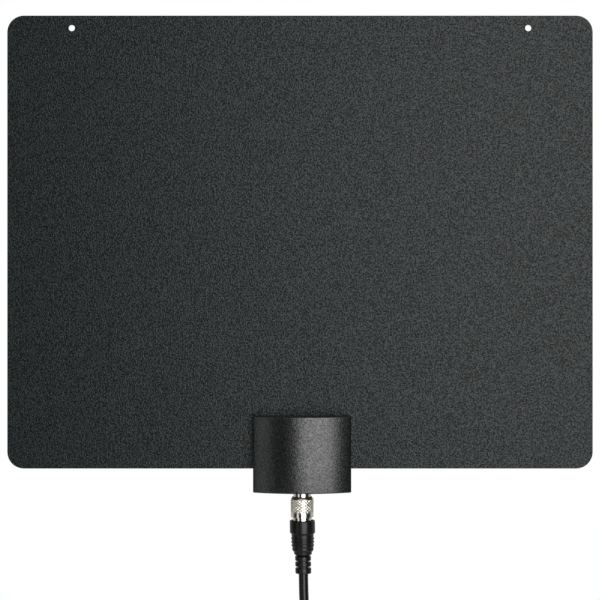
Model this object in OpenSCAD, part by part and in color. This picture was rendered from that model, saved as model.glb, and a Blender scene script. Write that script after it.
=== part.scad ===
/* [Sheet] */
// Width of the flat sheet, left to right
sheet_w = 292.1; // [240:0.1:340]
// Height of the flat sheet, top to bottom
sheet_h = 226; // [200:0.5:280]
// Corner radius of the sheet
sheet_corner_r = 8.3; // [4:0.1:12]
// Thickness of the grained front film
front_film_t = 0.42; // [0.3:0.01:0.6]
// Thickness of the thin rear film
rear_film_t = 0.18; // [0.1:0.01:0.3]
// Thickness of the metal foil between the films
foil_t = 0.1; // [0.05:0.01:0.15]
// Diameter of each hang hole
hang_d = 3.1; // [2.5:0.1:4]
// Distance between the two hang holes
hang_spacing = 227.8; // [200:0.1:230]
// Distance of the hang holes below the top edge
hang_drop = 6.2; // [5:0.05:8]

/* [Housing] */
// Width of the connector housing
housing_w = 48.6; // [44:0.1:56]
// Height of the connector housing
housing_h = 37.8; // [36:0.1:40]
// How far the housing sits to the right of the sheet's middle
housing_shift = 1.05; // [-2:0.05:2]
// How far the housing hangs below the sheet's lower edge
housing_drop = 11.2; // [9:0.05:12]
// How far the middle of its curved front stands ahead of the sheet
crown_rise = 12.8; // [12.4:0.1:14]
// How much nearer the sheet the front is at its two sides
crown_sag = 5.8; // [4:0.1:6]
// Wall of the moulded front cover
wall_t = 1.5; // [1.2:0.1:1.6]
// Radius of the moulded edges
edge_r = 1; // [0.6:0.1:1.2]
// Thickness of the rear cover behind the sheet
rear_t = 2.2; // [2:0.1:3]

/* [Jack] */
// Outside diameter of the 3/8-32 thread
jack_d = 9.4; // [9.3:0.01:9.5]
// Distance from the sheet's back face forward to the jack's axis
jack_ahead = 7; // [6.8:0.1:7.2]
// How far the threaded barrel reaches below the housing
jack_reach = 9.4; // [9:0.1:12]

/* [Plug] */
// Diameter over the knurl of the coupling nut
nut_d = 11.35; // [11:0.05:11.6]
// Length of the coupling nut
nut_len = 11.7; // [11:0.1:12]
// Diameter of the boot's front collar
collar_d = 12.55; // [12:0.05:13]
// Diameter of the centre pin
pin_d = 1; // [0.8:0.05:1]
// Radial clearance of the turning nut
nut_clear = 0.08; // [0.04:0.01:0.1]

/* [Lead] */
// Outside diameter of the coaxial cable
cable_d = 4.7; // [4.4:0.1:5]
// Radius of the coil's outermost turn, at the cable's centre
coil_outer_r = 35.6; // [34:0.1:38]
// Number of turns beside each other and of layers on each other
coil_rows = 4; // [3:1:4]

/* [Hidden] */
$fn = 48;

// Colours
black_film = [0.17, 0.18, 0.18];
black_abs = [0.12, 0.13, 0.13];
black_pvc = [0.10, 0.10, 0.11];
foil_metal = [0.75, 0.76, 0.78];
nickel = [0.78, 0.77, 0.74];
brass = [0.80, 0.66, 0.36];
board_green = [0.10, 0.35, 0.20];
ferrite_grey = [0.22, 0.22, 0.23];
copper = [0.72, 0.36, 0.18];
dielectric = [0.92, 0.92, 0.88];

// The sheet hangs in the XZ plane with its back face at y = 0 and the hang holes at z = 0.
// The front looks along -Y.
sheet_t = front_film_t + rear_film_t;
sheet_top = hang_drop;
sheet_foot = hang_drop - sheet_h;
front_y = -sheet_t;

// The foil elements are two mirrored loops
element_in = 6;
element_out = 134;
element_top = -14;
element_foot = -206;
element_band = 18;
element_r = 6;
rivet_x = 12;
rivet_z = -200;
rivet_r = 1;
rivet_head_r = 1.9;
rivet_head_t = 0.4;

// Housing: its front is an arc about a vertical axis behind the sheet
half_w = housing_w / 2;
housing_foot = sheet_foot - housing_drop;
housing_top = housing_foot + housing_h;
crown_y = front_y - crown_rise;
crown_r = (half_w * half_w + crown_sag * crown_sag) / (2 * crown_sag);
crown_axis_y = crown_y + crown_r;
peg_x = 19.9;
peg_z = [housing_top - 5.3, sheet_foot + 4.5];
peg_r = 1.25;
peg_reach = 1.4;
boss_r = 2.4;
peg_gap = 0.05;
post_x = 14;
post_z = housing_foot + 5.9;
post_r = 1.2;
lip_gap = 0.1;
slot_r = 4.95;
tongue_half_w = 4.85;
tongue_reach = 2.8;
rear_chamfer = 0.8;

// Circuit board and what stands on it
board_t = 1.2;
board_half_w = 16.8;
board_top = housing_top - 3.8;
board_foot = housing_foot + 2.9;
board_y = front_y - board_t;
core_top = -204.2;
core_len = 7;
core_half_w = 3.6;
core_rise = 4.2;
core_hole_r = 0.9;
core_hole_x = 1.7;
wire_r = 0.2;

// Jack: a right-angle block on the board with a threaded barrel
jack_r = jack_d / 2;
jack_y = -jack_ahead;
jack_end = housing_foot - jack_reach;
block_half_w = 5.5;
block_top = -217;
block_foot = housing_foot + wall_t + 0.2;
block_front = -11.3;
jack_bore_r = 3.4;
insulator_r = 3.35;
contact_r = 0.9;
contact_bore_r = pin_d / 2 + 0.05;
contact_z = -221.5;
leg_x = 4.2;
leg_r = 0.5;

// Plug: its own frame has +z towards the mouth and z = 0 at the jack's end face
nut_front = 7.5;
nut_back = nut_front - nut_len;
nut_chamfer = 1.2;
nut_rim = 0.15;
nut_bore_r = jack_r + nut_clear;
lip_front = -1.05;
post_shank_r = 3.5;
post_flange_r = 4.2;
post_bore_r = 2.3;
anchor_r = 4.6;
anchor_z = [-6.5, -9];
tail_r = 3.1;
post_end = -17;
pin_back = -8;
pin_tip = 10.5;
boot_front = nut_back - 0.1;
boot_end = -30.4;
disc_r = 3.95;
neck_r = 2.5;
spine_w = 2.5;

// Route of the cable from the near boot down to the coil, chosen by hand
lead_route = [
    [0, -7, -270.8], [0.35, -7, -275], [0.7, -7, -280], [0.95, -7, -285], [0.9, -6.5, -290],
    [0, -5.1, -296], [-2.5, -3.3, -301.5], [-6.5, -1.8, -306.4], [-12.5, -1, -312.2],
    [-18.8, -1, -318.5], [-25.2, -1, -324.8]
];
// Route from the coil to the far plug
tail_route = [[-35.6, -15, -350], [-35.7, -15, -357], [-36, -15, -364], [-36, -15, -370]];
coil_centre = [0, -8, -350];
coil_inner_r = coil_outer_r - (coil_rows - 1) * cable_d;
coil_mid_r = (coil_outer_r + coil_inner_r) / 2;
coil_half = coil_rows * cable_d / 2;
tie_t = 0.9;
tie_angle = 7;
tie_tail = 16;
cable_sides = 10;
near_plug = [0, jack_y, jack_end];
far_plug = tail_route[3] + [0, 0, boot_end];

// A rectangle with round corners, from its left, lower, right and upper edges
module rounded_rect(x0, z0, x1, z1, r) {
    translate([x0 + r, z0]) square([x1 - x0 - 2 * r, z1 - z0]);
    translate([x0, z0 + r]) square([x1 - x0, z1 - z0 - 2 * r]);
    for (x = [x0 + r, x1 - r], z = [z0 + r, z1 - r]) translate([x, z]) circle(r);
}

// Turns a flat outline in X and Z into a slab between two depths
module slab(back, front) {
    translate([0, back, 0]) rotate([90, 0, 0]) linear_extrude(back - front) children();
}

// A round rod along Y between two depths
module rod_y(x, z, back, front, r) {
    slab(back, front) translate([x, z]) circle(r);
}

// A round rod along Z between two heights
module rod_z(x, y, low, high, r) {
    translate([x, y, low]) cylinder(h = high - low, r = r);
}

// Everything but the two films stands where the housing sits on the sheet
module shifted() { translate([housing_shift, 0, 0]) children(); }

module hang_holes() {
    for (side = [-1, 1]) translate([side * hang_spacing / 2, 0]) circle(hang_d / 2);
}

module peg_holes(r) {
    for (side = [-1, 1], z = peg_z) translate([side * peg_x, z]) circle(r);
}

module rivet_holes(r) {
    for (side = [-1, 1]) translate([side * rivet_x, rivet_z]) circle(r);
}

module sheet_outline() {
    difference() {
        rounded_rect(-sheet_w / 2, sheet_foot, sheet_w / 2, sheet_top, sheet_corner_r);
        hang_holes();
        shifted() {
            peg_holes(peg_r + peg_gap);
            rivet_holes(rivet_r);
        }
    }
}

module element_outline() {
    difference() {
        rounded_rect(element_in, element_foot, element_out, element_top, element_r);
        rounded_rect(element_in + element_band, element_foot + element_band,
                     element_out - element_band, element_top - element_band, element_r);
        translate([rivet_x, rivet_z]) circle(rivet_r);
        translate([peg_x, peg_z[0]]) circle(2 * peg_r);
    }
}

// The front film has a shallow pocket for each foil element in its back
module front_film() {
    color(black_film) difference() {
        slab(-rear_film_t, front_y) sheet_outline();
        shifted() slab(0, -rear_film_t - foil_t) for (side = [0, 1]) mirror([side, 0]) element_outline();
    }
}

module rear_film() {
    color(black_film) slab(0, -rear_film_t) sheet_outline();
}

module element() {
    color(foil_metal) slab(-rear_film_t, -rear_film_t - foil_t) element_outline();
}

module right_element() { element(); }

module left_element() { mirror([1, 0, 0]) element(); }

// A rivet clamps the foil to the board through both films
module feed_rivet(x) {
    color(brass) {
        rod_y(x, rivet_z, rivet_head_t, board_y - rivet_head_t, rivet_r);
        rod_y(x, rivet_z, rivet_head_t, 0, rivet_head_r);
        rod_y(x, rivet_z, board_y, board_y - rivet_head_t, rivet_head_r);
    }
}

module left_feed_rivet() { feed_rivet(-rivet_x); }

module right_feed_rivet() { feed_rivet(rivet_x); }

module circuit_board() {
    color(board_green) slab(front_y, board_y) difference() {
        translate([-board_half_w, board_foot]) square([2 * board_half_w, board_top - board_foot]);
        rivet_holes(rivet_r);
        for (x = [-leg_x, leg_x], z = [block_top - 1.5, block_foot + 2.2]) translate([x, z]) circle(leg_r);
        translate([0, contact_z]) circle(leg_r);
    }
}

// Three chip capacitors in a row
module matching_chips() {
    color(brass) for (x = [-11, 9, 13]) translate([x - 1, board_y - 0.9, -210]) cube([2, 0.9, 1.25]);
}

module core_holes(r) {
    for (side = [-1, 1]) translate([side * core_hole_x, board_y - core_rise / 2, 0])
        translate([0, 0, core_top - core_len - 1]) cylinder(h = core_len + 2, r = r);
}

module balun_core() {
    color(ferrite_grey) difference() {
        translate([0, board_y - core_rise / 2, core_top - core_len]) linear_extrude(core_len)
            rounded_rect(-core_half_w, -core_rise / 2, core_half_w, core_rise / 2, 1.4);
        core_holes(core_hole_r);
    }
}

// One wire passes down one hole of the core, across, and up the other, and both ends reach the board
module winding(shift, over) {
    y = board_y - core_rise / 2 + shift;
    low = core_top - core_len - over;
    high = core_top + over;
    for (side = [-1, 1]) {
        rod_z(side * core_hole_x, y, low, high, wire_r);
        translate([side * core_hole_x, y, low]) sphere(wire_r);
        translate([side * core_hole_x, y, high]) sphere(wire_r);
        rod_y(side * core_hole_x, high, board_y, y, wire_r);
    }
    translate([-core_hole_x, y, low]) rotate([0, 90, 0]) cylinder(h = 2 * core_hole_x, r = wire_r);
}

module primary_winding() { color(copper) winding(0.45, 0.7); }

module secondary_winding() { color(copper) winding(-0.45, 1.3); }

module jack_body() {
    color(nickel) difference() {
        union() {
            translate([-block_half_w, block_front, block_foot])
                cube([2 * block_half_w, board_y - block_front, block_top - block_foot]);
            rod_z(0, jack_y, jack_end + 0.4, block_foot + 1, jack_r);
            translate([0, jack_y, jack_end]) cylinder(h = 0.4, r1 = jack_r - 0.4, r2 = jack_r);
            for (x = [-leg_x, leg_x], z = [block_top - 1.5, block_foot + 2.2])
                rod_y(x, z, front_y, board_y - 1, leg_r);
        }
        rod_z(0, jack_y, jack_end - 1, block_top - 1.8, jack_bore_r);
        rod_y(0, contact_z, board_y + 1, jack_y, 1.3);
    }
}

module jack_insulator() {
    color(dielectric) difference() {
        rod_z(0, jack_y, jack_end + 0.3, block_top - 1.8, insulator_r);
        rod_z(0, jack_y, jack_end - 1, contact_z + leg_r, contact_r);
        rod_y(0, contact_z, jack_y + insulator_r + 1, jack_y, leg_r);
    }
}

module jack_contact() {
    color(brass) difference() {
        union() {
            rod_z(0, jack_y, jack_end + 0.8, contact_z + leg_r, contact_r);
            rod_y(0, contact_z, front_y, jack_y, leg_r);
        }
        rod_z(0, jack_y, jack_end - 1, jack_end + 11, contact_bore_r);
    }
}

// Section of the housing on a plane through the axis of its curved front
module crown_section(r, low, high, round_r) {
    difference() {
        translate([crown_r / 2, low]) square([r - crown_r / 2, high - low]);
        for (end = [0, 1]) translate([r, end ? high : low]) mirror([0, end]) difference() {
            translate([-round_r, -1]) square([round_r + 1, round_r + 1]);
            translate([-round_r, round_r]) circle(round_r);
        }
    }
}

// The block between two heights that lies behind the curved front and between the two sides
module crown_block(half, r, low, high, round_r) {
    corner = [half - round_r, crown_axis_y - sqrt(pow(r - round_r, 2) - pow(half - round_r, 2))];
    intersection() {
        translate([0, crown_axis_y, 0]) rotate_extrude($fn = 200) crown_section(r, low, high, round_r);
        translate([0, 0, low - 1]) linear_extrude(high - low + 2) {
            translate([-half, corner[1]]) square([2 * half, front_y - corner[1]]);
            translate([-corner[0], crown_y - 1]) square([2 * corner[0], front_y - crown_y]);
            for (side = [-1, 1]) translate([side * corner[0], corner[1]]) circle(round_r);
        }
    }
}

module front_cover() {
    color(black_abs) difference() {
        union() {
            difference() {
                crown_block(half_w, crown_r, housing_foot, housing_top, edge_r);
                crown_block(half_w - wall_t, crown_r - wall_t, housing_foot + wall_t,
                            housing_top - wall_t, 0.4);
            }
            intersection() {
                union() {
                    slab(front_y, crown_y) peg_holes(boss_r);
                    for (side = [-1, 1]) rod_y(side * post_x, post_z, board_y, crown_y, post_r);
                }
                crown_block(half_w - 0.5, crown_r - 0.5, housing_foot + 0.5, housing_top - 0.5, 0.4);
            }
            slab(peg_reach, front_y - 1) peg_holes(peg_r);
        }
        // A slot in the lower wall lets the cover pass over the jack
        translate([0, 0, housing_foot - 1]) linear_extrude(wall_t + 1.5) {
            translate([0, jack_y]) circle(slot_r);
            translate([-slot_r, jack_y]) square([2 * slot_r, -jack_y]);
        }
    }
}

module rear_cover() {
    color(black_abs) difference() {
        union() {
            intersection() {
                slab(rear_t, 0) rounded_rect(-half_w, housing_foot, half_w, housing_top, edge_r);
                translate([-half_w, 0, 0]) rotate([90, 0, 90]) linear_extrude(housing_w)
                    polygon([[-1, housing_foot], [rear_t - rear_chamfer, housing_foot],
                             [rear_t, housing_foot + rear_chamfer], [rear_t, housing_top - rear_chamfer],
                             [rear_t - rear_chamfer, housing_top], [-1, housing_top]]);
                translate([0, 0, housing_foot - 1]) linear_extrude(housing_h + 2)
                    polygon([[-half_w, -1], [half_w, -1], [half_w, rear_t - rear_chamfer],
                             [half_w - rear_chamfer, rear_t], [rear_chamfer - half_w, rear_t],
                             [-half_w, rear_t - rear_chamfer]]);
            }
            // The lip fills the sheet's thickness below its lower edge
            slab(0.5, front_y) rounded_rect(-half_w, housing_foot, half_w, sheet_foot - lip_gap, 0.5);
            // The tongue closes the slot behind the jack
            slab(0, -jack_ahead + tongue_reach) translate([-tongue_half_w, housing_foot])
                square([2 * tongue_half_w, wall_t]);
        }
        slab(peg_reach + peg_gap, -1) peg_holes(peg_r + peg_gap);
        slab(rivet_head_t + 0.2, -1) rivet_holes(rivet_head_r + 0.4);
        rod_z(0, jack_y, housing_foot - 1, housing_foot + wall_t + 1, slot_r);
    }
}

// Coupling nut: threaded bore, and a lip that the post's flange holds
module plug_nut() {
    r = nut_d / 2;
    rotate_extrude($fn = 96) polygon([
        [nut_bore_r, nut_front], [nut_bore_r + nut_rim, nut_front], [r, nut_front - nut_chamfer],
        [r, 0], [r - 0.15, -0.15], [r - 0.05, -0.3], [r - 0.05, nut_back + 1], [r - 0.7, nut_back],
        [post_shank_r + nut_clear, nut_back], [post_shank_r + nut_clear, lip_front],
        [nut_bore_r, lip_front]
    ]);
}

// Post: a tube with a front flange, and a ring that the boot is moulded over
module plug_post() {
    rotate_extrude($fn = 72) polygon([
        [post_bore_r, lip_front + 1], [post_flange_r, lip_front + 1],
        [post_flange_r, lip_front + nut_clear], [post_shank_r, lip_front + nut_clear],
        [post_shank_r, anchor_z[0]], [anchor_r, anchor_z[0]], [anchor_r, anchor_z[1]],
        [tail_r, anchor_z[1]], [tail_r, post_end], [post_bore_r, post_end]
    ]);
}

module plug_insulator() {
    difference() {
        rod_z(0, 0, post_end, lip_front + 1, post_bore_r);
        rod_z(0, 0, pin_back, 1, pin_d / 2);
    }
}

module plug_pin() {
    rotate_extrude() polygon([
        [0, pin_back], [pin_d / 2, pin_back], [pin_d / 2, pin_tip - 0.5], [0.15, pin_tip], [0, pin_tip]
    ]);
}

// Boot: collar, ribbed grip, cone, and three discs on a neck with a spine at front and back
module boot_section() {
    r = collar_d / 2;
    polygon([
        [0, boot_front], [r - 0.3, boot_front], [r, boot_front - 0.3], [r, -9.95], [r - 0.3, -10.6],
        [r - 0.75, -10.85], [5.52, -10.85], [5.45, -12.8], [5.72, -12.95], [5.72, -13.45],
        [5.43, -13.6], [5.4, -14.4], [5.7, -14.55], [5.7, -15.05], [5.35, -15.2], [5.32, -16.1],
        [5.58, -16.25], [5.58, -16.75], [5.25, -16.9], [5.22, -18], [5.32, -18.15], [5.3, -18.6],
        [5.05, -19.3], [4.5, -19.5], [4.42, -20.9], [3.3, -21.6], [neck_r, -21.7],
        [neck_r, boot_end], [0, boot_end]
    ]);
    for (disc = [[-21.9, -24.1], [-24.8, -26.9], [-27.7, boot_end]])
        polygon([
            [0, disc[0]], [disc_r - 0.4, disc[0]], [disc_r, disc[0] - 0.4],
            [disc_r, disc[1] + 0.4], [disc_r - 0.4, disc[1]], [0, disc[1]]
        ]);
}

module plug_boot() {
    difference() {
        union() {
            rotate_extrude($fn = 72) boot_section();
            intersection() {
                translate([-spine_w / 2, -disc_r, boot_end]) cube([spine_w, 2 * disc_r, -21 - boot_end]);
                rod_z(0, 0, boot_end, -21, disc_r - 0.2);
            }
        }
        rod_z(0, 0, anchor_z[0], 0, post_shank_r);
        rod_z(0, 0, anchor_z[1], anchor_z[0], anchor_r);
        rod_z(0, 0, post_end, anchor_z[1], tail_r);
    }
}

module at_near() { translate(near_plug) children(); }

module at_far() { translate(far_plug) rotate([180, 0, 0]) children(); }

module near_nut() { color(nickel) at_near() plug_nut(); }

module near_post() { color(nickel) at_near() plug_post(); }

module near_insulator() { color(dielectric) at_near() plug_insulator(); }

module near_pin() { color(brass) at_near() plug_pin(); }

module near_boot() { color(black_pvc) at_near() plug_boot(); }

module far_nut() { color(nickel) at_far() plug_nut(); }

module far_post() { color(nickel) at_far() plug_post(); }

module far_insulator() { color(dielectric) at_far() plug_insulator(); }

module far_pin() { color(brass) at_far() plug_pin(); }

module far_boot() { color(black_pvc) at_far() plug_boot(); }

// Direction of a route at one of its points
function heading(route, i) =
    let (a = route[max(i - 1, 0)], b = route[min(i + 1, len(route) - 1)]) (b - a) / norm(b - a);

// One ring of points round a route, square to its heading
function ring(route, i) =
    let (t = heading(route, i), u = cross(t, [0, 1, 0]) / norm(cross(t, [0, 1, 0])), v = cross(t, u))
    [for (k = [0:cable_sides - 1]) let (a = 360 * k / cable_sides)
        route[i] + cable_d / 2 * (cos(a) * u + sin(a) * v)];

// A tube swept along a route, with its two ends closed
module cable_tube(route) {
    n = cable_sides;
    last = (len(route) - 1) * n;
    points = [for (i = [0:len(route) - 1]) each ring(route, i)];
    sides = [for (i = [0:len(route) - 2], k = [0:n - 1])
        [i * n + k, (i + 1) * n + k, (i + 1) * n + (k + 1) % n, i * n + (k + 1) % n]];
    start = [for (k = [0:n - 1]) k];
    finish = [for (k = [0:n - 1]) last + n - 1 - k];
    polyhedron(points, concat(sides, [start, finish]));
}

module lead_cable() { color(black_pvc) cable_tube(lead_route); }

module lead_tail() { color(black_pvc) cable_tube(tail_route); }

// A band round the coil's axis, through an angle from the three o'clock side upwards
module coil_band(from, angle) {
    translate(coil_centre) rotate([90, 0, 0]) rotate([0, 0, from])
        rotate_extrude(angle = angle, $fn = 120) children();
}

module coil_outline(grow) {
    half = coil_half + grow;
    rounded_rect(coil_mid_r - half, -half, coil_mid_r + half, half, cable_d / 2 + grow);
}

module lead_coil() { color(black_pvc) coil_band(0, 360) coil_outline(0); }

// A wire tie at the top of the coil, with its two ends twisted together
module coil_tie() {
    color(black_pvc) {
        coil_band(90 - tie_angle / 2, tie_angle) difference() {
            coil_outline(tie_t);
            coil_outline(0);
        }
        translate([0, coil_centre[1] - coil_half - 1.5 * tie_t, coil_centre[2] + coil_mid_r])
            rotate([165, 0, 0]) linear_extrude(tie_tail, twist = 720, slices = 16)
                for (side = [-1, 1]) translate([0.7 * side, 0]) circle(0.8, $fn = 6);
    }
}

front_film();
rear_film();
shifted() left_element();
shifted() right_element();
shifted() left_feed_rivet();
shifted() right_feed_rivet();
shifted() circuit_board();
shifted() matching_chips();
shifted() balun_core();
shifted() primary_winding();
shifted() secondary_winding();
shifted() jack_body();
shifted() jack_insulator();
shifted() jack_contact();
shifted() front_cover();
shifted() rear_cover();
shifted() near_nut();
shifted() near_post();
shifted() near_insulator();
shifted() near_pin();
shifted() near_boot();
shifted() lead_cable();
shifted() lead_coil();
shifted() coil_tie();
shifted() lead_tail();
shifted() far_boot();
shifted() far_post();
shifted() far_insulator();
shifted() far_pin();
shifted() far_nut();
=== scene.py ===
"""Flat hanging television antenna with a screw-on coaxial lead."""

import math

import bmesh
import bpy
from mathutils import Matrix, Vector


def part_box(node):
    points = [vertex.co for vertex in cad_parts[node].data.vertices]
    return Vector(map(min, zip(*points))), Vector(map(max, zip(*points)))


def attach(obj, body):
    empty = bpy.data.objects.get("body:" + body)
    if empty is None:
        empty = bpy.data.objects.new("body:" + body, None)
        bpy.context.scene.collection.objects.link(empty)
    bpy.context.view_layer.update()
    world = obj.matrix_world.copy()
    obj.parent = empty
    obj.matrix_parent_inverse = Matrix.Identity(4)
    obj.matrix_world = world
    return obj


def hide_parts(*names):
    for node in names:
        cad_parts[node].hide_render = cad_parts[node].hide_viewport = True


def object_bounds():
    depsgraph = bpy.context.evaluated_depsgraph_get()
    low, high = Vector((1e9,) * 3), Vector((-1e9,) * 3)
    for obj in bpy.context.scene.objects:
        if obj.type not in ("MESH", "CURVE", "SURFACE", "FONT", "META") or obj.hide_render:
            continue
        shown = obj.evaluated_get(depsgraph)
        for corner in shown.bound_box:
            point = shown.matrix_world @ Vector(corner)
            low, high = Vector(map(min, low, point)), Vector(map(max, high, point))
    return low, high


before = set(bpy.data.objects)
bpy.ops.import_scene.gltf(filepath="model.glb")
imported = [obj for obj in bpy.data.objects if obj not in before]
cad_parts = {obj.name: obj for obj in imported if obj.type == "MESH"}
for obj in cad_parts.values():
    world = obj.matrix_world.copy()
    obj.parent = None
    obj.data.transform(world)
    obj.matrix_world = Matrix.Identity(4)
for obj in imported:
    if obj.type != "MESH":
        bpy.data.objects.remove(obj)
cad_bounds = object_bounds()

bl_info = {
    "name": "Flat TV Antenna",
    "version": (1, 0, 0),
    "blender": (4, 5, 0),
    "location": "View3D > Sidebar > Antenna",
    "description": "Dresses a flat hanging television antenna and its coaxial lead",
    "category": "Object",
}

MM = 0.001
# Points nearer than this are one point
MERGE = 1e-7

# Places that come from the frame: the sheet, the housing and the two plugs
SHEET_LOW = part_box("front_film")[0]
HOUSING_LOW, HOUSING_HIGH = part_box("front_cover")
BLOCK_LOW, BLOCK_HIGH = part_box("jack_body")
BOARD_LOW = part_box("circuit_board")[0]
NEAR_NUT_LOW, NEAR_NUT_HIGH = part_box("near_nut")
FAR_NUT_LOW, FAR_NUT_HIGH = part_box("far_nut")
COIL_LOW, COIL_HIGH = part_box("lead_coil")
COIL_CENTRE = (COIL_LOW + COIL_HIGH) / 2

# A plug is made in its own frame: +Z towards the mouth, and 0 at the jack's end face
NUT_FRONT = 7.5 * MM
BOOT_END = -30.4 * MM
JACK_AXIS = Vector(((NEAR_NUT_LOW.x + NEAR_NUT_HIGH.x) / 2,
                    (NEAR_NUT_LOW.y + NEAR_NUT_HIGH.y) / 2, 0))
NEAR_PLUG = Matrix.Translation((JACK_AXIS.x, JACK_AXIS.y, NEAR_NUT_HIGH.z - NUT_FRONT))
FAR_PLUG = Matrix.Translation((
    (FAR_NUT_LOW.x + FAR_NUT_HIGH.x) / 2, (FAR_NUT_LOW.y + FAR_NUT_HIGH.y) / 2,
    FAR_NUT_LOW.z + NUT_FRONT)) @ Matrix.Rotation(math.pi, 4, "X")
JACK_END = NEAR_NUT_HIGH.z - NUT_FRONT
# The near boot leans a little to the right with its cable
BOOT_LEAN = Matrix.Shear("XY", 4, (-0.02, 0))

# Route of the cable from the near boot to the coil, and from the coil to the far boot, in metres,
# counted from the jack's axis
LEAD_ROUTE = [
    (0.00061, -0.007, -0.2708), (0.0007, -0.007, -0.275), (0.0008, -0.007, -0.280),
    (0.00095, -0.007, -0.285), (0.0009, -0.0065, -0.290), (0, -0.0051, -0.296),
    (-0.0025, -0.0033, -0.3015), (-0.0065, -0.0018, -0.3064), (-0.0125, -0.001, -0.3122),
    (-0.0188, -0.001, -0.3185),
]
TAIL_ROUTE = [
    (-0.0357, -0.015, -0.357), (-0.036, -0.015, -0.364), (-0.036, -0.015, -0.370),
]


def linear_colour(hex_colour):
    """An sRGB hex colour as the linear colour that shaders take."""
    values = [int(hex_colour[i:i + 2], 16) / 255 for i in (1, 3, 5)]
    return tuple(v / 12.92 if v <= 0.04045 else ((v + 0.055) / 1.055) ** 2.4 for v in values)


def colour_property(name, description, hex_colour):
    """A colour setting with an sRGB hex default."""
    return bpy.props.FloatVectorProperty(
        name=name, description=description, subtype="COLOR", size=3, min=0, max=1,
        default=linear_colour(hex_colour))


def length_property(name, description, metres):
    """A length setting with a default in metres."""
    return bpy.props.FloatProperty(
        name=name, description=description, subtype="DISTANCE", unit="LENGTH", min=0,
        precision=5, default=metres)


class ANTENNA_PG_sheet(bpy.types.PropertyGroup):
    """Finish of the flat sheet"""
    film: colour_property("Film", "Colour of the raised grain of the film", "#0b1617")
    # The darker colour between the grains is painted shade in the film's hollows
    pit_tone_and_shade: colour_property("Pits", "Colour between the grains", "#020404")
    grain: length_property("Grain", "Width of one grain of the embossing", 0.75 * MM)
    grain_depth: length_property("Grain depth", "Height of the embossing", 0.05 * MM)


class ANTENNA_PG_housing(bpy.types.PropertyGroup):
    """Shape and finish of the moulded housing"""
    plastic: colour_property("Plastic", "Colour of the moulded housing", "#080a0a")
    grain: length_property("Grain", "Width of one grain of the tool's finish", 0.65 * MM)
    wall: length_property("Wall", "Thickness of the front cover's wall", 1.5 * MM)
    edge: length_property("Edge", "Radius of the moulded edges", 0.6 * MM)
    sag: length_property("Sag", "How much nearer the sheet the front is at its sides", 5.8 * MM)
    slot: length_property("Slot", "Radius of the slot round the jack", 4.95 * MM)


class ANTENNA_PG_plug(bpy.types.PropertyGroup):
    """Shape and finish of the jack and the plugs"""
    nickel: colour_property("Nickel", "Colour of the nickel plate", "#d9d5cc")
    boot: colour_property("Boot", "Colour of the moulded boot", "#060707")
    thread_pitch: length_property(
        "Thread pitch", "Pitch of the 32 per inch thread", 25.4 / 32 * MM)
    thread_depth: length_property("Thread depth", "Depth of the thread", 0.36 * MM)
    jack_radius: length_property("Jack radius", "Outer radius of the jack's thread", 4.7 * MM)
    knurl_count: bpy.props.IntProperty(
        name="Knurl count", description="Diamonds round the nut", min=8, default=18)
    knurl_height: length_property("Knurl height", "Height of one diamond", 1.47 * MM)
    knurl_depth: length_property("Knurl depth", "Depth of the knurl", 0.35 * MM)
    groove_share: bpy.props.FloatProperty(
        name="Groove share", description="Half a groove's width over the knurl's pitch", min=0.05,
        max=0.5, default=0.28)


class ANTENNA_PG_lead(bpy.types.PropertyGroup):
    """Length and finish of the coaxial lead"""
    jacket: colour_property("Jacket", "Colour of the cable's jacket", "#070708")
    length: length_property("Length", "Real length of the cable between its boots", 3.0)
    diameter: length_property("Diameter", "Outside diameter of the cable", 4.7 * MM)
    rows: bpy.props.IntProperty(
        name="Rows", description="Turns beside each other and layers on each other", min=1,
        default=4)
    tie: length_property("Tie", "Thickness of the wire tie", 0.9 * MM)


class ANTENNA_PG_stage(bpy.types.PropertyGroup):
    """Camera, lights and floor"""
    camera_away: length_property("Camera distance", "From the sheet's front to the camera", 0.7484)
    camera_height: bpy.props.FloatProperty(
        name="Camera height", description="Height of the camera against the hang holes",
        subtype="DISTANCE", unit="LENGTH", default=-0.1357, precision=4)
    lens: bpy.props.FloatProperty(
        name="Lens", description="Focal length on a 36 mm sensor", subtype="DISTANCE_CAMERA",
        min=20, default=90)
    floor: colour_property("Floor", "Colour of the plain floor", "#e6e6e4")
    key: bpy.props.FloatProperty(
        name="Key light", description="Strength of the wide light on the right", unit="POWER",
        min=0, default=22.5)
    strip: bpy.props.FloatProperty(
        name="Strip light", description="Strength of the narrow light on the left", unit="POWER",
        min=0, default=2.1)


def settings():
    """The scene's settings of the antenna."""
    return bpy.context.scene.antenna


# Materials

def add_node(tree, kind, values=None, links=None, **settings_of_node):
    """A node with its input values, its links from other sockets, and its own settings."""
    node = tree.nodes.new(kind)
    for name, value in settings_of_node.items():
        setattr(node, name, value)
    for name, value in (values or {}).items():
        node.inputs[name].default_value = value
    for name, socket in (links or {}).items():
        tree.links.new(socket, node.inputs[name])
    return node


def rgba(colour):
    """A colour with full opacity."""
    return (*colour[:3], 1.0)


def new_material(name, **shader_values):
    """A material with one principled shader, with its node tree."""
    material = bpy.data.materials.new(name)
    material.use_nodes = True
    tree = material.node_tree
    tree.nodes.clear()
    shader = add_node(tree, "ShaderNodeBsdfPrincipled", shader_values)
    add_node(tree, "ShaderNodeOutputMaterial", links={"Surface": shader.outputs["BSDF"]})
    material.diffuse_color = rgba(shader.inputs["Base Color"].default_value)
    return material, tree, shader


# The values that the grain's noise has in its hollows and on its crests
PIT_TO_CREST = (0.36, 0.66)


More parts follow.
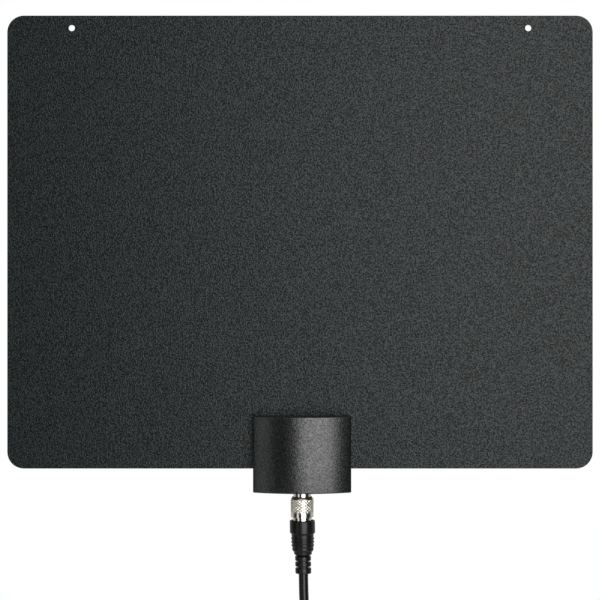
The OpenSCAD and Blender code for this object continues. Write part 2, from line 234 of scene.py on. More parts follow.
def grained_finish(name, colour, grain_width, roughness=None, shine=None, pit_tone_and_shade=None,
                   span=(0.35, 0.65), detail=2.0, relief=0.0, **shader_values):
    """A material with one grain that drives its gloss, its relief and its colour.

    Roughness and shine are each a pair, for the hollows and for the crests. Where the hollows have
    a colour of their own, it turns into the crests' colour over the span of the grain: painted
    shade in the film's hollows, and a random tone in the plain finishes.
    """
    driven = {}
    if roughness:
        driven["Roughness"] = (roughness, (0, 1))
    if shine:
        driven["Specular IOR Level"] = (shine, span)
    means = {socket: sum(pair) / 2 for socket, (pair, _) in driven.items()}
    material, tree, shader = new_material(
        name, **{"Base Color": rgba(colour), **shader_values, **means})
    place = add_node(tree, "ShaderNodeTexCoord").outputs["Object"]
    grain = add_node(
        tree, "ShaderNodeTexNoise",
        {"Scale": 1 / grain_width, "Detail": detail, "Roughness": 0.5},
        {"Vector": place}).outputs["Fac"]
    for socket, ((in_pits, on_crests), (start, end)) in driven.items():
        spread = add_node(
            tree, "ShaderNodeMapRange",
            {"From Min": start, "From Max": end, "To Min": in_pits, "To Max": on_crests},
            {"Value": grain})
        tree.links.new(spread.outputs["Result"], shader.inputs[socket])
    # The hollows' own colour: painted shade on the film, a random tone on the plain finishes
    if pit_tone_and_shade:
        ramp = add_node(tree, "ShaderNodeValToRGB", links={"Fac": grain})
        for stop, position, tone in zip(ramp.color_ramp.elements, span, (pit_tone_and_shade, colour)):
            stop.position = position
            stop.color = rgba(tone)
        tree.links.new(ramp.outputs["Color"], shader.inputs["Base Color"])
    if relief:
        bump = add_node(
            tree, "ShaderNodeBump", {"Distance": relief, "Strength": 1.0}, {"Height": grain})
        tree.links.new(bump.outputs["Normal"], shader.inputs["Normal"])
    return material


def embossed_pet_film():
    """Embossed PET film: a fine pebble grain that breaks light into specks and looks dark grey.

    The hollows are painted darker and shine less than the crests, as painted shade for the little
    light that gets in or out of them.
    """
    look = settings().sheet
    # The real relief is too fine to show from this far, so it is drawn four times as deep
    shown_relief = 4 * look.grain_depth
    # The darker hollow colour and the lower shine in the hollows are painted shade
    return grained_finish(
        "embossed_pet_film", look.film, look.grain, roughness=(0.46, 0.34), shine=(0.09, 0.29),
        pit_tone_and_shade=look.pit_tone_and_shade, span=PIT_TO_CREST, detail=1.0, relief=shown_relief, IOR=1.5)


def moulded_abs():
    """ABS moulded in a finely eroded tool: broad soft highlights that sparkle a little."""
    look = settings().housing
    return grained_finish(
        "moulded_abs", look.plastic, look.grain, roughness=(0.2, 0.32), shine=(0.25, 0.62),
        span=PIT_TO_CREST, detail=1.0, relief=0.05 * MM, IOR=1.53)


def nickel_plate():
    """Bright nickel plate on turned brass: a warm mirror, slightly uneven from the turning."""
    return grained_finish(
        "nickel_plate", settings().plug.nickel, 0.6 * MM, roughness=(0.1, 0.2),
        relief=0.003 * MM, Metallic=1.0)


def rolled_nickel():
    """Nickel plate over a rolled knurl: the same metal, but matter, so that each diamond glows."""
    return grained_finish(
        "rolled_nickel", settings().plug.nickel, 0.3 * MM, roughness=(0.16, 0.28), Metallic=1.0)


def moulded_pvc():
    """Soft PVC moulded over the plug: a satin black with a faint haze."""
    return grained_finish(
        "moulded_pvc", settings().plug.boot, 0.5 * MM, roughness=(0.26, 0.36),
        relief=0.008 * MM, **{"IOR": 1.53, "Specular IOR Level": 0.26})


def extruded_pvc_jacket():
    """Extruded PVC cable jacket: smooth satin black with slow waves along its length."""
    return grained_finish(
        "extruded_pvc_jacket", settings().lead.jacket, 3 * MM, roughness=(0.22, 0.3),
        relief=0.02 * MM, **{"IOR": 1.53, "Specular IOR Level": 0.28})


def plain_finish(name, low, high, grain_width, roughness, metallic=0.0):
    """A finish of two near colours, with an even gloss and a faint relief."""
    return grained_finish(
        name, linear_colour(high), grain_width, pit_tone_and_shade=linear_colour(low), relief=0.004 * MM,
        Metallic=metallic, Roughness=roughness)


# Mesh helpers

def give_finish(piece, material):
    """Gives a piece one material in place of those it has."""
    piece.data.materials.clear()
    piece.data.materials.append(material)


def make_piece(name, bm, material, body, replaced=(), sharp_angle=35):
    """Turns a bmesh into a smooth-shaded piece that rides on a body and replaces CAD nodes."""
    mesh = bpy.data.meshes.new(name)
    bm.to_mesh(mesh)
    bm.free()
    mesh.polygons.foreach_set("use_smooth", [True] * len(mesh.polygons))
    mesh.set_sharp_from_angle(angle=math.radians(sharp_angle))
    piece = bpy.data.objects.new(name, mesh)
    bpy.context.scene.collection.objects.link(piece)
    give_finish(piece, material)
    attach(piece, body)
    if replaced:
        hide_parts(*replaced)
    return piece


def rounded_path(corners, segments=4):
    """A path of (r, z, radius) corners, in millimetres, with each corner rounded to its radius."""
    path = []
    for i, (r, z, radius) in enumerate(corners):
        here = Vector((r, z))
        if radius == 0 or i in (0, len(corners) - 1):
            path.append(here)
            continue
        before = (Vector(corners[i - 1][:2]) - here).normalized()
        after = (Vector(corners[i + 1][:2]) - here).normalized()
        half = before.angle(after) / 2
        reach = radius / math.tan(half)
        centre = here + (before + after).normalized() * (radius / math.sin(half))
        start, end = here + before * reach - centre, here + after * reach - centre
        sweep = start.angle_signed(end)
        for k in range(segments + 1):
            turned = start.copy()
            turned.rotate(Matrix.Rotation(-sweep * k / segments, 2))
            path.append(centre + turned)
    return path


def revolve(bm, path, steps):
    """Spins a path of (r, z) points in millimetres about Z into the bmesh."""
    verts = [bm.verts.new((p[0] * MM, 0, p[1] * MM)) for p in path]
    edges = [bm.edges.new(pair) for pair in zip(verts, verts[1:])]
    bmesh.ops.spin(
        bm, geom=verts + edges, cent=(0, 0, 0), axis=(0, 0, 1), dvec=(0, 0, 0),
        angle=2 * math.pi, steps=steps, use_merge=True, use_duplicate=False)
    bmesh.ops.remove_doubles(bm, verts=bm.verts, dist=MERGE)


def tidy_solid(bm):
    """Merges doubles and points every face outwards."""
    bmesh.ops.remove_doubles(bm, verts=bm.verts, dist=MERGE)
    bmesh.ops.recalc_face_normals(bm, faces=bm.faces)


def add_rod(bm, centre, axis, radius, length, segments=32):
    """A closed rod about a point, along Y or Z."""
    turn = {"Y": Matrix.Rotation(math.pi / 2, 4, "X"), "Z": Matrix.Identity(4)}[axis]
    bmesh.ops.create_cone(
        bm, cap_ends=True, segments=segments, radius1=radius, radius2=radius, depth=length,
        matrix=Matrix.Translation(centre) @ turn)


def add_eased_block(bm, centre, size, corner):
    """A closed block about a point, with its edges rounded."""
    made = bmesh.ops.create_cube(
        bm, size=1, matrix=Matrix.Translation(centre) @ Matrix.Diagonal((*size, 1)))
    bmesh.ops.bevel(
        bm, geom=list({e for v in made["verts"] for e in v.link_edges}), offset=corner,
        affect="EDGES", segments=2, profile=0.5, material=-1)


def merged_copy(name, node, material, body, bevel):
    """A smooth-shaded copy of a CAD node, with its loose triangles merged and its edges eased."""
    bm = bmesh.new()
    bm.from_mesh(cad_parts[node].data)
    bmesh.ops.remove_doubles(bm, verts=bm.verts, dist=MERGE)
    bmesh.ops.dissolve_limit(
        bm, angle_limit=math.radians(0.5), verts=bm.verts, edges=bm.edges)
    piece = make_piece(name, bm, material, body, (node,))
    ease = piece.modifiers.new("eased_edges", "BEVEL")
    ease.width = bevel
    ease.segments = 3
    ease.limit_method = "ANGLE"
    ease.angle_limit = math.radians(30)


# Camera, lights, floor

def aim(location, target):
    """The turn of something that looks from one point at another."""
    return (Vector(target) - Vector(location)).to_track_quat("-Z", "Y").to_euler()


def add_area_light(name, azimuth, away, width, height, power, rise):
    """A soft box that looks at the sheet's lower half, turned to the right of the camera's line."""
    target = Vector((0, 0, -0.16))
    angle = math.radians(azimuth)
    location = target + away * Vector((math.sin(angle), -math.cos(angle), rise))
    light = bpy.data.lights.new(name, "AREA")
    light.shape = "RECTANGLE"
    light.size = width
    light.size_y = height
    light.energy = power
    lamp = bpy.data.objects.new(name, light)
    lamp.location = location
    lamp.rotation_euler = aim(location, target)
    lamp.visible_camera = False
    bpy.context.scene.collection.objects.link(lamp)


class ANTENNA_OT_stage(bpy.types.Operator):
    """Makes the camera, the soft lights, the plain surroundings and the floor"""
    bl_idname = "antenna.stage"
    bl_label = "Stage"

    def execute(self, context):
        look = settings().stage
        camera = bpy.data.objects.new("camera", bpy.data.cameras.new("camera"))
        camera.data.sensor_width = 36
        camera.data.lens = look.lens
        camera.location = (0, SHEET_LOW.y - look.camera_away, look.camera_height)
        camera.rotation_euler = (math.pi / 2, 0, 0)
        context.scene.collection.objects.link(camera)
        context.scene.camera = camera
        context.scene.view_settings.view_transform = "Standard"

        add_area_light("key_softbox", azimuth=17, away=1.2, width=0.9, height=1.5,
                       power=look.key, rise=0.12)
        add_area_light("strip_softbox", azimuth=-45, away=1.2, width=0.42, height=1.5,
                       power=look.strip, rise=0.1)

        world = bpy.data.worlds.new("plain_surroundings")
        context.scene.world = world
        world.use_nodes = True
        tree = world.node_tree
        tree.nodes.clear()
        # Grey behind the antenna and above and below it, dark before it, white to the camera
        direction = add_node(tree, "ShaderNodeTexCoord").outputs["Generated"]
        axes = add_node(tree, "ShaderNodeSeparateXYZ", links={"Vector": direction}).outputs
        behind = add_node(
            tree, "ShaderNodeMapRange",
            {"From Min": -0.15, "From Max": 0.35, "To Min": 0.02, "To Max": 0.6},
            {"Value": axes["Y"]}).outputs["Result"]
        steep = add_node(tree, "ShaderNodeMath", links={0: axes["Z"]}, operation="ABSOLUTE")
        above = add_node(
            tree, "ShaderNodeMapRange",
            {"From Min": 0.3, "From Max": 0.6, "To Min": 0.02, "To Max": 0.5},
            {"Value": steep.outputs["Value"]}).outputs["Result"]
        level = add_node(
            tree, "ShaderNodeMath", links={0: behind, 1: above},
            operation="MAXIMUM").outputs["Value"]
        seen = add_node(tree, "ShaderNodeLightPath").outputs["Is Camera Ray"]
        strength = add_node(tree, "ShaderNodeMix", {"B": 1.0}, {"Factor": seen, "A": level})
        back = add_node(
            tree, "ShaderNodeBackground", {"Color": (1, 1, 1, 1)},
            {"Strength": strength.outputs["Result"]})
        add_node(tree, "ShaderNodeOutputWorld", links={"Surface": back.outputs["Background"]})

        drop = 30 * MM
        bm = bmesh.new()
        bmesh.ops.create_circle(
            bm, cap_ends=True, segments=96, radius=0.5,
            matrix=Matrix.Translation((0, 0, cad_bounds[0].z - drop)))
        mesh = bpy.data.meshes.new("floor")
        bm.to_mesh(mesh)
        bm.free()
        floor = bpy.data.objects.new("floor", mesh)
        context.scene.collection.objects.link(floor)
        # Matt paper: an even light grey without a highlight
        paper = new_material(
            "matt_floor", **{"Base Color": rgba(look.floor), "Roughness": 0.9})[0]
        mesh.materials.append(paper)
        return {"FINISHED"}


# Lead

def coil_points(look, centre):
    """The centreline of the wound turns, counter-clockwise seen from the front.

    Each turn keeps its radius and depth for part of its round, and then shifts to the next place:
    inwards and outwards by layers, and forwards by one row at the end of each stack of layers.
    Where it shifts forwards, it bulges a little past its neighbours.
    """
    d = look.diameter
    rows = look.rows
    outer = (COIL_HIGH.x - COIL_LOW.x) / 2 - d / 2
    rear = (COIL_HIGH.y - COIL_LOW.y) / 2 - d / 2
    start_angle, shift_from, shift_to = math.radians(135), 80 / 360, 280 / 360
    steps = 18
    bulge_share = 0.45

    def place(turn):
        turn = min(turn, rows * rows - 1)
        row, layer = divmod(turn, rows)
        if row % 2:
            layer = rows - 1 - layer
        return outer - layer * d, rear - row * d, layer

    points = []
    last = rows * rows * steps + steps // 8
    for i in range(last + 1):
        turn, part = divmod(i, steps)
        share = min(max((part / steps - shift_from) / (shift_to - shift_from), 0), 1)
        eased = (1 - math.cos(math.pi * share)) / 2
        (r0, y0, layer), (r1, y1, _) = place(turn), place(turn + 1)
        radius = r0 + (r1 - r0) * eased
        if y0 != y1:
            side = 1 if layer == 0 else -1
            radius += side * bulge_share * d * math.sin(math.pi * share) ** 2
        angle = start_angle + 2 * math.pi * i / steps
        points.append(centre + Vector((
            radius * math.cos(angle), y0 + (y1 - y0) * eased, radius * math.sin(angle))))
    return points


class ANTENNA_OT_lead(bpy.types.Operator):
    """Makes the coaxial cable with its coil"""
    bl_idname = "antenna.lead"
    bl_label = "Lead"

    def execute(self, context):
        look = settings().lead
        points = [Vector(p) for p in LEAD_ROUTE + TAIL_ROUTE]
        for point in points:
            point.x += JACK_AXIS.x
        points[len(LEAD_ROUTE):len(LEAD_ROUTE)] = coil_points(look, COIL_CENTRE)
        curve = bpy.data.curves.new("coax_cable", "CURVE")
        curve.dimensions = "3D"
        curve.bevel_depth = look.diameter / 2
        curve.bevel_resolution = 4
        curve.resolution_u = 5
        curve.use_fill_caps = True
        spline = curve.splines.new("BEZIER")
        spline.bezier_points.add(len(points) - 1)
        for knot, point in zip(spline.bezier_points, points):
            knot.co = point
            knot.handle_left_type = "AUTO"
            knot.handle_right_type = "AUTO"
        cable = bpy.data.objects.new("coax_cable", curve)
        context.scene.collection.objects.link(cable)
        give_finish(cable, extruded_pvc_jacket())
        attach(cable, "lead")
        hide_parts("lead_cable", "lead_coil", "lead_tail")
        return {"FINISHED"}


# Sheet

class ANTENNA_OT_sheet(bpy.types.Operator):
    """Gives the two films of the sheet their embossed grain"""
    bl_idname = "antenna.sheet"
    bl_label = "Sheet"

    def execute(self, context):
        film = embossed_pet_film()
        for node in ("front_film", "rear_film"):
            give_finish(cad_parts[node], film)
        return {"FINISHED"}


# Housing

def crown_outline(half, front, corner, back, sag):
    """Points of the housing's section from above, from its left rear corner round the front."""
    arc_r = (half ** 2 + sag ** 2) / (2 * sag)
    axis_y = front + arc_r
    corner_x = half - corner
    corner_y = axis_y - math.sqrt((arc_r - corner) ** 2 - corner_x ** 2)
    meet = math.asin(corner_x / (arc_r - corner))
    right = []
    steps, corner_steps = 24, 6
    for i in range(steps + 1):
        a = meet * i / steps
        right.append((arc_r * math.sin(a), axis_y - arc_r * math.cos(a)))
    for i in range(1, corner_steps + 1):
        a = meet + (math.pi / 2 - meet) * i / corner_steps
        right.append((corner_x + corner * math.sin(a), corner_y - corner * math.cos(a)))
    right.append((half, back))
    return [(-x, y) for x, y in reversed(right)] + right[1:]


def crown_block(half, front, corner, back, sag, low, high):
    """The curved block as a closed solid, with round upper and lower edges but a sharp back."""
    bm = bmesh.new()
    verts = [bm.verts.new((x, y, low)) for x, y in crown_outline(half, front, corner, back, sag)]
    base = bm.faces.new(verts)
    raised = bmesh.ops.extrude_face_region(bm, geom=[base])
    top = [v for v in raised["geom"] if isinstance(v, bmesh.types.BMVert)]
    bmesh.ops.translate(bm, verts=top, vec=(0, 0, high - low))
    bmesh.ops.recalc_face_normals(bm, faces=bm.faces)
    rims = [e for e in bm.edges if abs(e.verts[0].co.z - e.verts[1].co.z) < MERGE
            and not all(abs(v.co.y - back) < MERGE for v in e.verts)]
    bmesh.ops.bevel(
        bm, geom=rims, offset=corner, affect="EDGES", segments=4, profile=0.5, material=-1,
        clamp_overlap=True)
    # The cuts need a closed solid without the bevel's slivers
    sliver = 2e-6
    bmesh.ops.remove_doubles(bm, verts=bm.verts, dist=sliver)
    bmesh.ops.translate(bm, verts=bm.verts, vec=(JACK_AXIS.x, 0, 0))
    return bm


def cut_away(piece, cutter_bm):
    """Cuts a closed shape out of a piece, and leaves a plain mesh."""
    mesh = bpy.data.meshes.new("cutter")
    bmesh.ops.recalc_face_normals(cutter_bm, faces=cutter_bm.faces)
    cutter_bm.to_mesh(mesh)
    cutter_bm.free()
    cutter = bpy.data.objects.new("cutter", mesh)
    bpy.context.scene.collection.objects.link(cutter)
    tool = piece.modifiers.new("cut", "BOOLEAN")
    tool.operation = "DIFFERENCE"
    tool.solver = "EXACT"
    tool.object = cutter
    result = bpy.data.meshes.new_from_object(
        piece.evaluated_get(bpy.context.evaluated_depsgraph_get()))
    piece.modifiers.remove(tool)
    bpy.data.objects.remove(cutter)
    piece.data = result


class ANTENNA_OT_housing(bpy.types.Operator):
    """Makes the curved front cover and dresses the rear cover"""
    bl_idname = "antenna.housing"
    bl_label = "Housing"

    def execute(self, context):
        look = settings().housing
        plastic = moulded_abs()
        half = (HOUSING_HIGH.x - HOUSING_LOW.x) / 2
        low, high, front, back = HOUSING_LOW.z, HOUSING_HIGH.z, HOUSING_LOW.y, SHEET_LOW.y
        bm = crown_block(half, front, look.edge, back, look.sag, low, high)
        inner_half = half - look.wall
        arc_r = (half ** 2 + look.sag ** 2) / (2 * look.sag)
        inner_r = arc_r - look.wall
        inner_sag = inner_r - math.sqrt(inner_r ** 2 - inner_half ** 2)
        cover = make_piece("front_cover_shell", bm, plastic, "antenna",
                           ("front_cover",), sharp_angle=50)
        # Each cutter reaches past the cover's back by the spare length
        spare, slot_depth, inner_corner = 1 * MM, 4 * MM, 0.4 * MM
        slot = bmesh.new()
        add_rod(slot, Vector((JACK_AXIS.x, JACK_AXIS.y, low)), "Z", look.slot, slot_depth, 64)
        cut_away(cover, slot)
        behind = bmesh.new()
        bmesh.ops.create_cube(behind, size=1, matrix=Matrix.Translation(
            (JACK_AXIS.x, (JACK_AXIS.y + back) / 2 + spare, low)) @ Matrix.Diagonal(
            (2 * look.slot, back - JACK_AXIS.y + 2 * spare, slot_depth, 1)))
        cut_away(cover, behind)
        cut_away(cover, crown_block(inner_half, front + look.wall, inner_corner, back + spare,
                                    inner_sag, low + look.wall, high - look.wall))
        give_finish(cover, plastic)

        pegs = bmesh.new()
        boss_r, peg_r, peg_end = 2.4 * MM, 1.25 * MM, HOUSING_HIGH.y
        peg_out, peg_below_top, peg_above_foot = 19.9 * MM, 5.3 * MM, 4.5 * MM
        root = front + look.sag + 1.2 * MM
        for side in (-1, 1):
            for z in (high - peg_below_top, SHEET_LOW.z + peg_above_foot):
                x = JACK_AXIS.x + side * peg_out
                add_rod(pegs, Vector((x, (root + back) / 2, z)), "Y", boss_r, back - root)
                add_rod(pegs, Vector((x, (back + peg_end) / 2, z)), "Y", peg_r, peg_end - back)
        make_piece("cover_pegs", pegs, plastic, "antenna")
        merged_copy("rear_cover_shell", "rear_cover", plastic, "antenna", 0.25 * MM)
        return {"FINISHED"}


# Jack

def screw_thread(bm, crest, root, low, high, pitch, steps=48):
    """A helical thread about Z between two heights, trimmed square at both. All in metres."""
    section = [(root, 0), (crest, 0.38 * pitch), (crest, 0.5 * pitch), (root, 0.88 * pitch),
               (root, pitch)]
    turns = math.ceil((high - low) / pitch) + 2
    verts = [bm.verts.new((r, 0, low - pitch + z)) for r, z in section]
    edges = [bm.edges.new(pair) for pair in zip(verts, verts[1:])]
    bmesh.ops.spin(
        bm, geom=verts + edges, cent=(0, 0, 0), axis=(0, 0, 1), dvec=(0, 0, pitch / steps),
        angle=2 * math.pi * turns, steps=steps * turns, use_merge=False, use_duplicate=False)
    bmesh.ops.remove_doubles(bm, verts=bm.verts, dist=1e-6)
    for height, normal in ((low, (0, 0, -1)), (high, (0, 0, 1))):
        bmesh.ops.bisect_plane(
            bm, geom=bm.verts[:] + bm.edges[:] + bm.faces[:], dist=1e-7,
            plane_co=(0, 0, height), plane_no=normal, clear_outer=True)


def point_from_axis(bm, outwards):
    """Turns every face of a tube about Z away from the axis, or towards it."""
    wrong = []
    for face in bm.faces:
        middle = face.calc_center_median()
        away = face.normal.dot(Vector((middle.x, middle.y, 0))) > 0
        if away != outwards:
            wrong.append(face)
    bmesh.ops.reverse_faces(bm, faces=wrong)


def join_into(bm, other):
    """Adds another bmesh to this one and frees it."""
    mesh = bpy.data.meshes.new("part")
    other.to_mesh(mesh)
    other.free()
    bm.from_mesh(mesh)
    bpy.data.meshes.remove(mesh)


class ANTENNA_OT_jack(bpy.types.Operator):
    """Makes the jack: its block, legs, neck and threaded barrel"""
    bl_idname = "antenna.jack"
    bl_label = "Jack"

    def execute(self, context):
        look = settings().plug
        radius = look.jack_radius
        foot = HOUSING_LOW.z - JACK_END
        neck_half = 1.7 * MM
        thread_top, block_foot = foot - neck_half, foot + neck_half
        block_top = BLOCK_HIGH.z - JACK_END
        bore, neck, inner_r = 3.4, radius / MM - 0.33, 4.34
        bm = bmesh.new()
        barrel = rounded_path([
            (bore, block_top / MM - 1.8, 0), (bore, 0, 0.1), (4.25, 0, 0.08), (inner_r, 0.4, 0)])
        revolve(bm, barrel, 64)
        collar = rounded_path([
            (inner_r, thread_top / MM - 0.3, 0), (neck, thread_top / MM, 0.05),
            (neck, block_foot / MM + 1, 0)])
        revolve(bm, collar, 64)
        thread = bmesh.new()
        screw_thread(thread, radius, radius - look.thread_depth, 0.4 * MM,
                     thread_top - 0.3 * MM, look.thread_pitch)
        point_from_axis(thread, True)
        tidy_solid(bm)
        join_into(bm, thread)

        block = bmesh.new()
        corner = 0.4 * MM
        front = BLOCK_LOW.y + corner
        add_eased_block(
            block, (0, (front + BOARD_LOW.y) / 2 - JACK_AXIS.y, (block_top + block_foot) / 2),
            (BLOCK_HIGH.x - BLOCK_LOW.x, BOARD_LOW.y - front, block_top - block_foot), corner)
        leg_out, leg_r, leg_length = 4.2 * MM, 0.5 * MM, 1.2 * MM
        for x in (-leg_out, leg_out):
            for z in (block_top - 1.5 * MM, block_foot + 2.2 * MM):
                add_rod(block, Vector((x, SHEET_LOW.y - JACK_AXIS.y - leg_length / 2, z)), "Y",
                        leg_r, leg_length, 16)
        join_into(bm, block)
        bmesh.ops.transform(bm, matrix=NEAR_PLUG, verts=bm.verts)
        make_piece("threaded_jack", bm, nickel_plate(), "antenna", ("jack_body",))
        return {"FINISHED"}


# Coupling nuts

# How far the knurl is turned about the nut and shifted along it, in diamonds
KNURL_TURNED, KNURL_SHIFTED = -0.11, 0.27


def knurl(bm, radius, low, high, look):
    """Presses a diamond knurl into the band of a revolved nut."""
    near_band, run_out = 0.02 * MM, 0.25 * MM
    for vert in bm.verts:
        r = math.hypot(vert.co.x, vert.co.y)
        if not (low - MERGE <= vert.co.z <= high + MERGE and abs(r - radius) < near_band):
            continue
        angle = math.atan2(vert.co.y, vert.co.x)
        turn = angle / (2 * math.pi) * look.knurl_count + KNURL_TURNED
        climb = (vert.co.z - low) / look.knurl_height + KNURL_SHIFTED
        rise = min(abs(groove - round(groove)) for groove in (turn + climb, turn - climb))
        depth = look.knurl_depth * (1 - min(1, rise / look.groove_share))
        edge = min((vert.co.z - low) / run_out, (high - vert.co.z) / run_out, 1)
        vert.co.x *= 1 - depth * edge / r
        vert.co.y *= 1 - depth * edge / r


def coupling_nut(look):
    """The nut in the plug's own frame, with its threads and its knurl. Its path is in mm."""
    r, bore, shank, throat = 5.675, 4.78, 4.75, 3.58
    rear, groove, thread_r = r - 0.03, r - 0.22, bore + 0.34
    band_top, thread_top, thread_foot = 6.3, 6.9, -1.05
    rows = 36
    band = [(r, band_top * (1 - i / rows), 0) for i in range(1, rows)]
    bm = bmesh.new()
    outside = rounded_path([
        (thread_r, thread_top, 0), (bore, 7.42, 0.04), (bore + 0.12, 7.5, 0.04),
        (r, band_top, 0), *band, (r, 0, 0), (groove, -0.12, 0), (groove, -0.3, 0),
        (rear, -0.42, 0.05), (rear, -0.6, 0), (rear, -2.3, 0), (rear, -2.5, 0.08),
        (shank, -2.55, 0.04), (shank, -2.75, 0), (shank, -4.0, 0), (shank, -4.2, 0.08),
        (throat, -4.2, 0.08), (throat, thread_foot, 0), (thread_r, thread_foot, 0)], 3)
    revolve(bm, outside, 240)
    knurl(bm, r * MM, 0, band_top * MM, look)
    tidy_solid(bm)
    inside_band = 5.2 * MM
    for face in bm.faces:
        middle = face.calc_center_median()
        if 0 < middle.z < band_top * MM and math.hypot(middle.x, middle.y) > inside_band:
            face.material_index = 1
    thread = bmesh.new()
    screw_thread(thread, thread_r * MM, bore * MM, thread_foot * MM, thread_top * MM,
                 look.thread_pitch)
    point_from_axis(thread, False)
    join_into(bm, thread)
    return bm


class ANTENNA_OT_nuts(bpy.types.Operator):
    """Makes the two knurled coupling nuts"""
    bl_idname = "antenna.nuts"
    bl_label = "Coupling nuts"

    def execute(self, context):
        look = settings().plug
        nickel, rolled = nickel_plate(), rolled_nickel()
        for end, place in (("near", NEAR_PLUG), ("far", FAR_PLUG)):
            bm = coupling_nut(look)
            bmesh.ops.transform(bm, matrix=place, verts=bm.verts)
            nut = make_piece(f"{end}_coupling_nut", bm, nickel, f"{end}_nut",
                             (f"{end}_nut",), sharp_angle=30)
            nut.data.materials.append(rolled)
            give_finish(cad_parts[f"{end}_post"], nickel)
        return {"FINISHED"}


# Boots

def moulded_boot():
    """The boot in the plug's own frame: collar, ribbed grip, cone, discs, neck and spines.

    Each path is of (r, z, radius) corners in millimetres.
    """
    collar = [(0, -9, 0), (3.5, -9, 0), (3.5, -5.6, 0), (5.4, -5.6, 0.2), (5.65, -4.15, 0.15),
              (6.275, -4.4, 0.35), (6.275, -10.3, 0.5), (5.55, -10.85, 0.15)]
    grip = []
    for z, base, crest in ((-13.2, 5.44, 5.74), (-14.8, 5.38, 5.71), (-16.5, 5.3, 5.6),
                           (-18.35, 5.2, 5.34)):
        grip += [(base, z + 0.5, 0.12), (crest, z + 0.25, 0.12), (crest, z - 0.25, 0.12),
                 (base - 0.02, z - 0.5, 0.12)]
    cone = [(5.05, -19.3, 0.1), (4.5, -19.5, 0.1), (4.42, -20.9, 0.2), (3.3, -21.6, 0.1)]
    discs = []
    for top, foot in ((-21.9, -24.1), (-24.8, -26.9), (-27.7, BOOT_END / MM)):
        discs += [(2.5, top, 0.1), (3.95, top, 0.35), (3.95, foot, 0.35), (2.5, foot, 0.1)]
    bm = bmesh.new()
    revolve(bm, rounded_path(collar + grip + cone + discs[:-1] + [(0, BOOT_END / MM, 0)]), 72)
    tidy_solid(bm)
    for spine_y in (-2.95 * MM, 2.95 * MM):
        add_eased_block(
            bm, (0, spine_y, -26.1 * MM), (2.5 * MM, 1.5 * MM, 8 * MM), 0.25 * MM)
    return bm


class ANTENNA_OT_boots(bpy.types.Operator):
    """Makes the two moulded boots with their strain reliefs"""
    bl_idname = "antenna.boots"
    bl_label = "Boots"

    def execute(self, context):
        pvc = moulded_pvc()
        for end, place in (("near", NEAR_PLUG @ BOOT_LEAN), ("far", FAR_PLUG)):
            bm = moulded_boot()
            bmesh.ops.transform(bm, matrix=place, verts=bm.verts)
            make_piece(f"{end}_moulded_boot", bm, pvc, "lead", (f"{end}_boot",))
        return {"FINISHED"}


# Tie

class ANTENNA_OT_tie(bpy.types.Operator):
    """Makes the wire tie round the coil, with its twisted ends"""
    bl_idname = "antenna.tie"
    bl_label = "Wire tie"

    def execute(self, context):
        look = settings().lead
        half = (COIL_HIGH.y - COIL_LOW.y) / 2
        mid = (COIL_HIGH.x - COIL_LOW.x) / 2 - half
        corner, slack, count = look.diameter / 2, 0.02 * MM, 32
        rings = []
        bm = bmesh.new()
        for grow in (slack, look.tie):
            reach, r, loop = half + grow, corner + grow, []
            for k in range(count):
                a = 2 * math.pi * (k + 0.5) / count
                z = mid + math.copysign(reach - r, math.cos(a)) + r * math.cos(a)
                y = math.copysign(reach - r, math.sin(a)) + r * math.sin(a)
                loop.append(bm.verts.new((0, y, z)))
            rings += [bm.edges.new(pair) for pair in zip(loop, loop[1:] + loop[:1])]
        bmesh.ops.bridge_loops(bm, edges=rings)
        width = math.radians(7)
        bmesh.ops.rotate(bm, verts=bm.verts, cent=(0, 0, 0),
                         matrix=Matrix.Rotation(-width / 2, 3, "Y"))
        start = bm.verts[:] + bm.edges[:] + bm.faces[:]
        bmesh.ops.spin(bm, geom=start, cent=(0, 0, 0), axis=(0, 1, 0), dvec=(0, 0, 0),
                       angle=width, steps=4, use_merge=False, use_duplicate=False)
        tidy_solid(bm)
        bmesh.ops.translate(bm, verts=bm.verts, vec=COIL_CENTRE)
        strand, tail_length, turns, steps = 0.75 * MM, 16 * MM, 2, 40
        root = COIL_CENTRE + Vector((0, -half - 1.5 * look.tie, mid))
        place = Matrix.Translation(root) @ Matrix.Rotation(math.radians(165), 4, "X")
        for side in (-1, 1):
            twist = bmesh.new()
            bmesh.ops.create_circle(
                twist, cap_ends=True, segments=12, radius=strand,
                matrix=Matrix.Translation((side * strand, 0, 0)))
            bmesh.ops.spin(
                twist, geom=twist.faces[:], cent=(0, 0, 0), axis=(0, 0, 1),
                dvec=(0, 0, tail_length / steps), angle=2 * math.pi * turns, steps=steps,
                use_merge=False, use_duplicate=False)
            tidy_solid(twist)
            bmesh.ops.transform(twist, matrix=place, verts=twist.verts)
            join_into(bm, twist)
        # Vinyl over wire: black with a dull shine
        tie = plain_finish("coated_tie_wire", "#101112", "#1a1b1c", 0.8 * MM, 0.45)
        make_piece("wire_tie", bm, tie, "lead", ("coil_tie",))
        return {"FINISHED"}


# Inner pieces

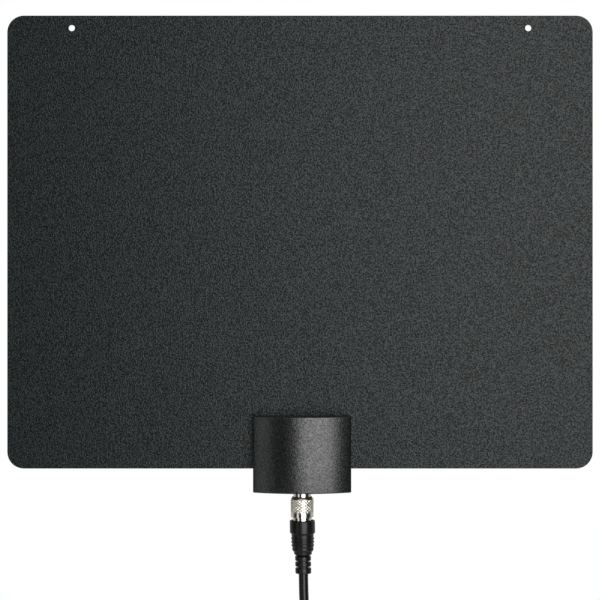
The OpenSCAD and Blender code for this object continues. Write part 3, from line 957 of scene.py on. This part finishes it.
class ANTENNA_OT_inner_parts(bpy.types.Operator):
    """Gives the pieces inside the sheet, the housing and the plugs their finishes"""
    bl_idname = "antenna.inner_parts"
    bl_label = "Inner parts"

    def execute(self, context):
        # Rolled foil is a soft mirror, and turned brass a warm and brighter one
        foil = plain_finish("rolled_foil", "#b4b6b9", "#c6c8ca", 1.5 * MM, 0.25, 1.0)
        brass = plain_finish("turned_brass", "#b8924a", "#cfa85c", 0.5 * MM, 0.22, 1.0)
        # Solder mask is a deep green lacquer
        board = plain_finish("solder_mask", "#12452b", "#1a5a38", 2 * MM, 0.35)
        # Fired ceramic and sintered ferrite are matt and faintly speckled
        ceramic = plain_finish("fired_ceramic", "#8a7355", "#a38b69", 0.3 * MM, 0.5)
        ferrite = plain_finish("sintered_ferrite", "#26272a", "#34353a", 0.3 * MM, 0.6)
        # Enamelled wire is copper seen through a clear varnish
        wire = plain_finish("enamelled_wire", "#8e3f1c", "#b25a2b", 0.5 * MM, 0.3, 1.0)
        # Natural polyethylene is milky and waxy
        dielectric = plain_finish("natural_polyethylene", "#dddbd0", "#ecebe2", 1 * MM, 0.45)
        finishes = {
            "left_element": foil, "right_element": foil, "left_feed_rivet": brass,
            "right_feed_rivet": brass, "circuit_board": board, "matching_chips": ceramic,
            "balun_core": ferrite, "primary_winding": wire, "secondary_winding": wire,
            "jack_insulator": dielectric, "jack_contact": brass, "near_insulator": dielectric,
            "far_insulator": dielectric, "near_pin": brass, "far_pin": brass,
        }
        for node, finish in finishes.items():
            give_finish(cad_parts[node], finish)
        return {"FINISHED"}


class ANTENNA_OT_declare_lead(bpy.types.Operator):
    bl_idname = "antenna.declare_lead"
    bl_label = "Declare lead"

    def execute(self, context):
        return {"FINISHED"}


class ANTENNA_PG_all(bpy.types.PropertyGroup):
    """Every setting of the antenna"""
    sheet: bpy.props.PointerProperty(type=ANTENNA_PG_sheet, name="Sheet", description="The sheet")
    housing: bpy.props.PointerProperty(
        type=ANTENNA_PG_housing, name="Housing", description="The housing")
    plug: bpy.props.PointerProperty(
        type=ANTENNA_PG_plug, name="Plugs", description="The jack and the plugs")
    lead: bpy.props.PointerProperty(type=ANTENNA_PG_lead, name="Lead", description="The lead")
    stage: bpy.props.PointerProperty(type=ANTENNA_PG_stage, name="Stage", description="The stage")


OPERATORS = (
    ANTENNA_OT_stage, ANTENNA_OT_lead, ANTENNA_OT_sheet, ANTENNA_OT_housing, ANTENNA_OT_jack,
    ANTENNA_OT_nuts, ANTENNA_OT_boots, ANTENNA_OT_tie, ANTENNA_OT_inner_parts,
    ANTENNA_OT_declare_lead,
)


class ANTENNA_PT_panel(bpy.types.Panel):
    """Lists the antenna's settings and the operators that make it"""
    bl_label = "Flat TV antenna"
    bl_idname = "ANTENNA_PT_panel"
    bl_space_type = "VIEW_3D"
    bl_region_type = "UI"
    bl_category = "Antenna"

    def draw(self, context):
        layout = self.layout
        for group in ("sheet", "housing", "plug", "lead", "stage"):
            box = layout.box()
            box.label(text=group.capitalize())
            values = getattr(context.scene.antenna, group)
            for name in values.__annotations__:
                box.prop(values, name)
        for operator in OPERATORS:
            layout.operator(operator.bl_idname)


CLASSES = (
    ANTENNA_PG_sheet, ANTENNA_PG_housing, ANTENNA_PG_plug, ANTENNA_PG_lead, ANTENNA_PG_stage,
    ANTENNA_PG_all, *OPERATORS, ANTENNA_PT_panel,
)


def register():
    """Adds the classes and the settings."""
    for cls in CLASSES:
        bpy.utils.register_class(cls)
    bpy.types.Scene.antenna = bpy.props.PointerProperty(type=ANTENNA_PG_all)


def unregister():
    """Takes the settings and the classes away."""
    del bpy.types.Scene.antenna
    for cls in reversed(CLASSES):
        bpy.utils.unregister_class(cls)


def main():
    """Makes every piece."""
    register()
    for operator in OPERATORS:
        group, name = operator.bl_idname.split(".")
        getattr(getattr(bpy.ops, group), name)()


if __name__ == "__main__":
    main()
